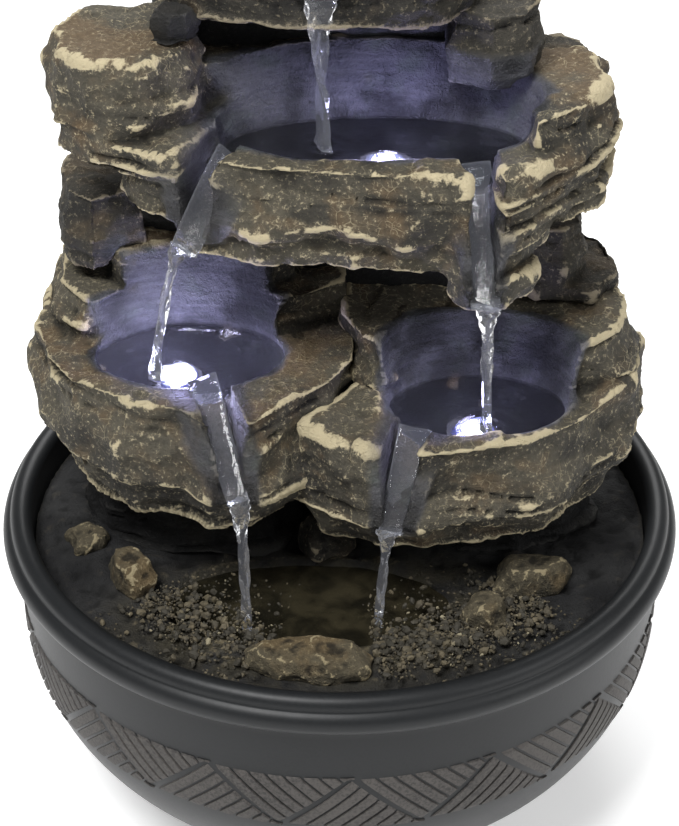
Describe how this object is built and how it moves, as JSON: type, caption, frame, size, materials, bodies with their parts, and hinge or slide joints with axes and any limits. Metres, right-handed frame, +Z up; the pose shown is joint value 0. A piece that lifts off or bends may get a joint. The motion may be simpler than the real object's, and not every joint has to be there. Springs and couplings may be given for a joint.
{
  "type": "tabletop water fountain",
  "caption": "Round bowl with a woven relief band, holding a layered rock tower whose basins spill from tier to tier into a small pool, with lights in the basins.",
  "frame": {"origin": "centre of the foot, on the table", "axes": "+Z up, -Y is the front that the spouts face, +X to the viewer's right"},
  "size_m": [0.22, 0.22, 0.31],
  "materials": {
    "weathered_rock": "cast resin, painted olive grey with ochre patches and dry-brushed cream edges",
    "dark_rock": "cast resin, painted dark grey",
    "pale_stone": "cast resin, painted beige over dark grey",
    "bowl_glaze": "satin charcoal black",
    "black_rubber": "matte",
    "clear_hose": "clear PVC",
    "spring_steel": "satin",
    "pump_plastic": "moulded ABS, matte",
    "circuit_board": "white solder mask",
    "light_lens": "clear epoxy, cool white light",
    "lead_jacket": "PVC jacket",
    "regulator_plastic": "moulded plastic",
    "lamination_steel": "laminated",
    "copper_winding": "enamelled copper wire",
    "ceramic": "polished alumina",
    "bush_plastic": "moulded elastomer",
    "ferrite": "sintered ferrite",
    "impeller_plastic": "moulded plastic"
  },
  "bodies": {
    "fountain": {"bowl": "bowl_glaze", "cable_grommet": "black_rubber", "crown_basin_tier": "weathered_rock", "foot_pads": "black_rubber", "front_kerb_stone": "pale_stone", "gravel_banks": "pale_stone", "ground_plate": "dark_rock", "hose_clip": "spring_steel", "junction_box": "pump_plastic", "left_basin_tier": "weathered_rock", "left_kerb_stones": "pale_stone", "left_knob_stone": "weathered_rock", "left_light_board": "circuit_board", "left_light_housing": "pump_plastic", "left_light_lead": "lead_jacket", "left_light_lens": "light_lens", "left_shoulder_rock": "weathered_rock", "left_skirt_rock": "dark_rock", "middle_basin_tier": "weathered_rock", "middle_light_board": "circuit_board", "middle_light_housing": "pump_plastic", "middle_light_lead": "lead_jacket", "middle_light_lens": "light_lens", "pool_back_stone": "pale_stone", "pump_back_plate": "pump_plastic", "pump_body": "pump_plastic", "pump_gasket": "black_rubber", "pump_volute": "pump_plastic", "right_back_slab": "weathered_rock", "right_basin_tier": "weathered_rock", "right_boulder": "weathered_rock", "right_kerb_stones": "pale_stone", "right_light_board": "circuit_board", "right_light_housing": "pump_plastic", "right_light_lead": "lead_jacket", "right_light_lens": "light_lens", "right_shoulder_rock": "weathered_rock", "right_skirt_rock": "dark_rock", "riser_hose": "clear_hose", "rotor_shaft": "ceramic", "shaft_bushes": "bush_plastic", "stator_core": "lamination_steel", "stator_windings": "copper_winding", "suction_cups": "black_rubber", "tower_core": "dark_rock", "volute_cover": "pump_plastic"},
    "rear_cover": {"rear_cover": "dark_rock"},
    "intake_strainer": {"intake_strainer": "pump_plastic"},
    "flow_slider": {"flow_slider": "regulator_plastic"},
    "pump_rotor": {"rotor_magnet": "ferrite", "impeller": "impeller_plastic"}
  },
  "joints": [
    {"name": "rear_cover_slide", "type": "slide", "parent": "fountain", "child": "rear_cover", "axis": [0, 1, 0], "range_m": [0, 0.06]},
    {"name": "strainer_slide", "type": "slide", "parent": "fountain", "child": "intake_strainer", "axis": [0, 1, 0], "range_m": [0, 0.0045]},
    {"name": "flow_slider_slide", "type": "slide", "parent": "intake_strainer", "child": "flow_slider", "axis": [1, 0, 0], "range_m": [0, 0.008]},
    {"name": "pump_rotor_spin", "type": "hinge", "parent": "fountain", "child": "pump_rotor", "pos_m": [-0.005, 0.03, 0.032], "axis": [0, 1, 0], "continuous": true}
  ]
}
